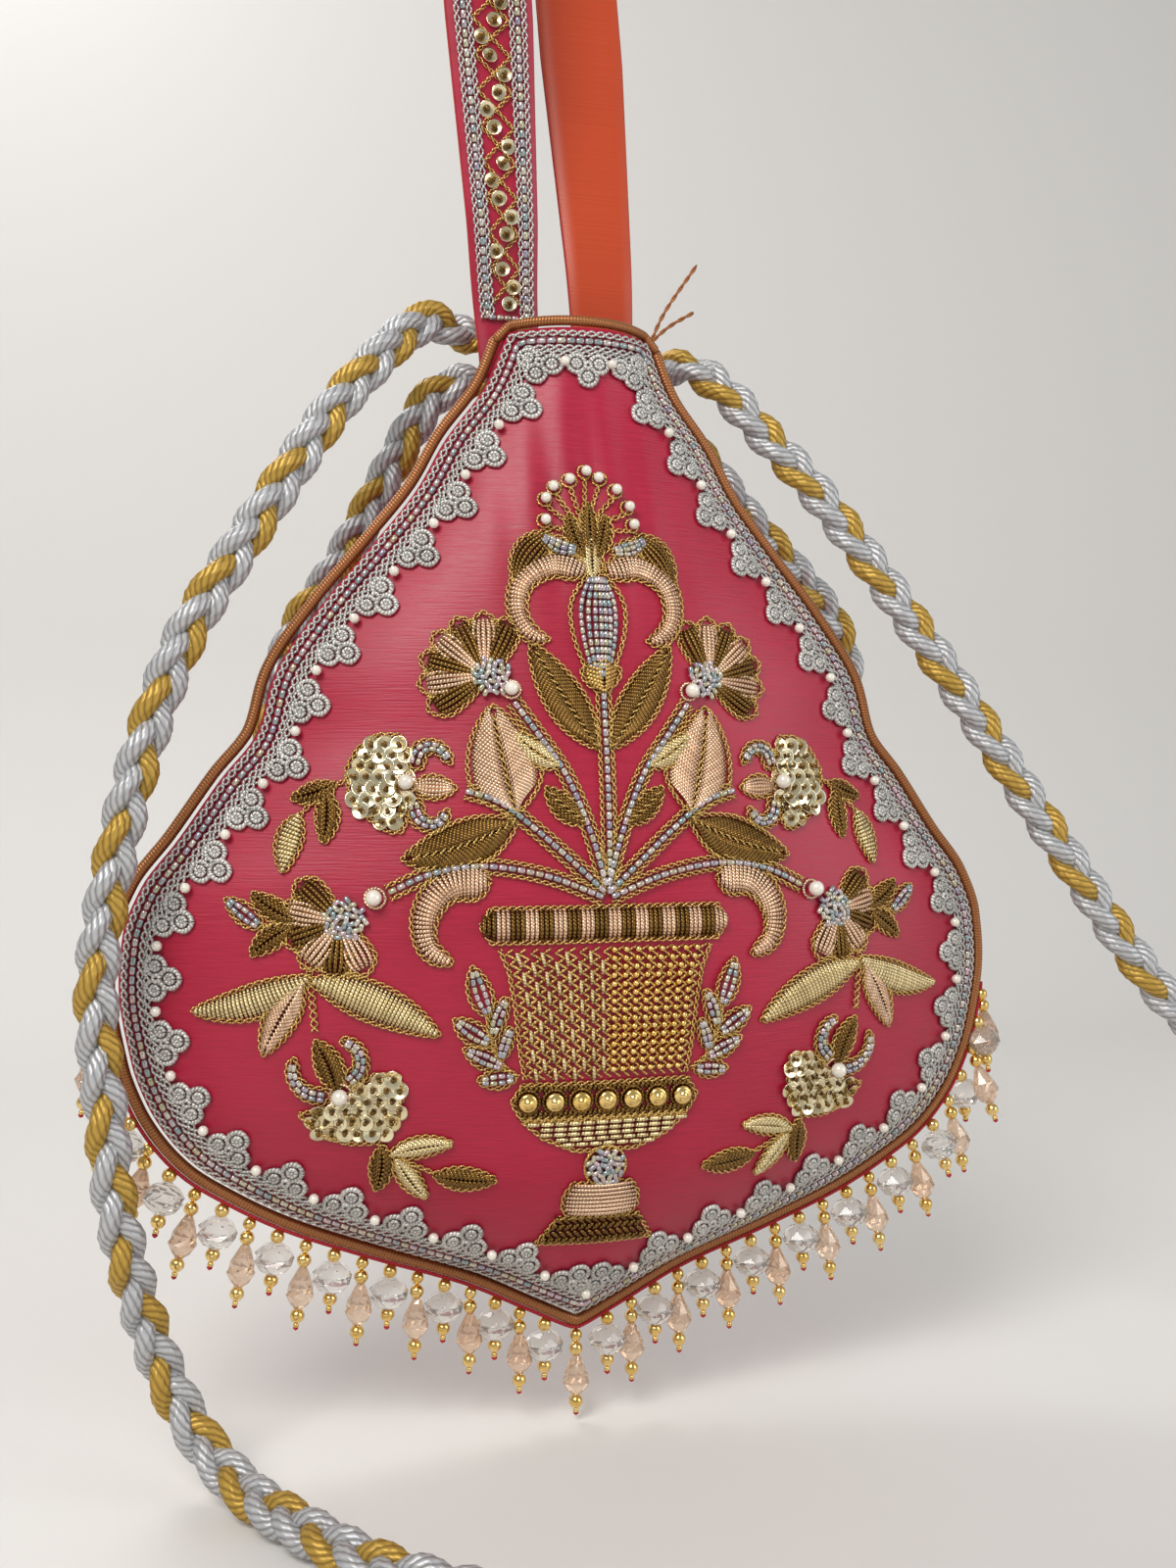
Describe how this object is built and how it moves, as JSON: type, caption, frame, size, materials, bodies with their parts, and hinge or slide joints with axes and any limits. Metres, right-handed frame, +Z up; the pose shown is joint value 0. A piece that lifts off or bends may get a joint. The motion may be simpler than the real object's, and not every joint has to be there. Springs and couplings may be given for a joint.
{
  "type": "potli bag",
  "caption": "Flat-sided cloth pouch with an embroidered front, lace and piped edge, bead fringe, strap handle and a long braided cord.",
  "frame": {"origin": "middle of the flat under the bend of the strap handle, where the bag hangs from a hook or a finger", "axes": "+Z up, towards the handle's bend; -Y out of the embroidered front; +X to the right as one faces the front"},
  "size_m": [0.3404, 0.168, 0.3934],
  "materials": {
    "silk": "slubbed silk, low sheen",
    "satin": "smooth satin",
    "piping": "satin-wrapped cord",
    "silver_thread": "metal thread lace",
    "gold_thread": "metal thread",
    "bronze_thread": "metal thread",
    "rose_thread": "metal thread",
    "pale_gold_thread": "metal thread",
    "pearl_beads": "opalescent bugle beads",
    "crystal": "faceted, clear",
    "braid": "metallic yarn plait"
  },
  "bodies": {
    "root": {"front_panel": "silk", "back_panel": "silk", "lining": "satin", "side_piping": "piping", "front_mouth_piping": "piping", "back_mouth_piping": "piping", "lace_border": "silver_thread", "stems": "pearl_beads", "iris": "rose_thread", "upper_carnation_left": "bronze_thread", "upper_carnation_right": "bronze_thread", "lower_carnation_left": "bronze_thread", "lower_carnation_right": "bronze_thread", "upper_sequin_flower_left": "pale_gold_thread", "upper_sequin_flower_right": "pale_gold_thread", "heart_leaf_left": "rose_thread", "heart_leaf_right": "rose_thread", "upper_pale_leaf_left": "pale_gold_thread", "upper_pale_leaf_right": "pale_gold_thread", "small_leaf_left": "bronze_thread", "small_leaf_right": "bronze_thread", "veined_leaf_left": "bronze_thread", "veined_leaf_right": "bronze_thread", "wavy_leaf_left": "bronze_thread", "wavy_leaf_right": "bronze_thread", "curled_leaf_left": "rose_thread", "curled_leaf_right": "rose_thread", "leaf_spray_left": "pale_gold_thread", "leaf_spray_right": "pale_gold_thread", "lower_sequin_flower_left": "pale_gold_thread", "lower_sequin_flower_right": "pale_gold_thread", "vase_rim": "bronze_thread", "vase_basket": "gold_thread", "stud_band": "gold_thread", "vase_bowl": "pale_gold_thread", "vase_foot": "bronze_thread", "laurel_left": "pearl_beads", "laurel_right": "pearl_beads", "bead_fringe": "crystal", "handle_band": "silk", "handle_lining": "satin", "handle_bead_rows": "pearl_beads", "handle_lattice": "gold_thread", "cord_tab_left": "silk", "cord_tab_right": "silk", "braid_front": "braid", "braid_back": "braid", "thread_ends": "piping"}
  },
  "joints": []
}
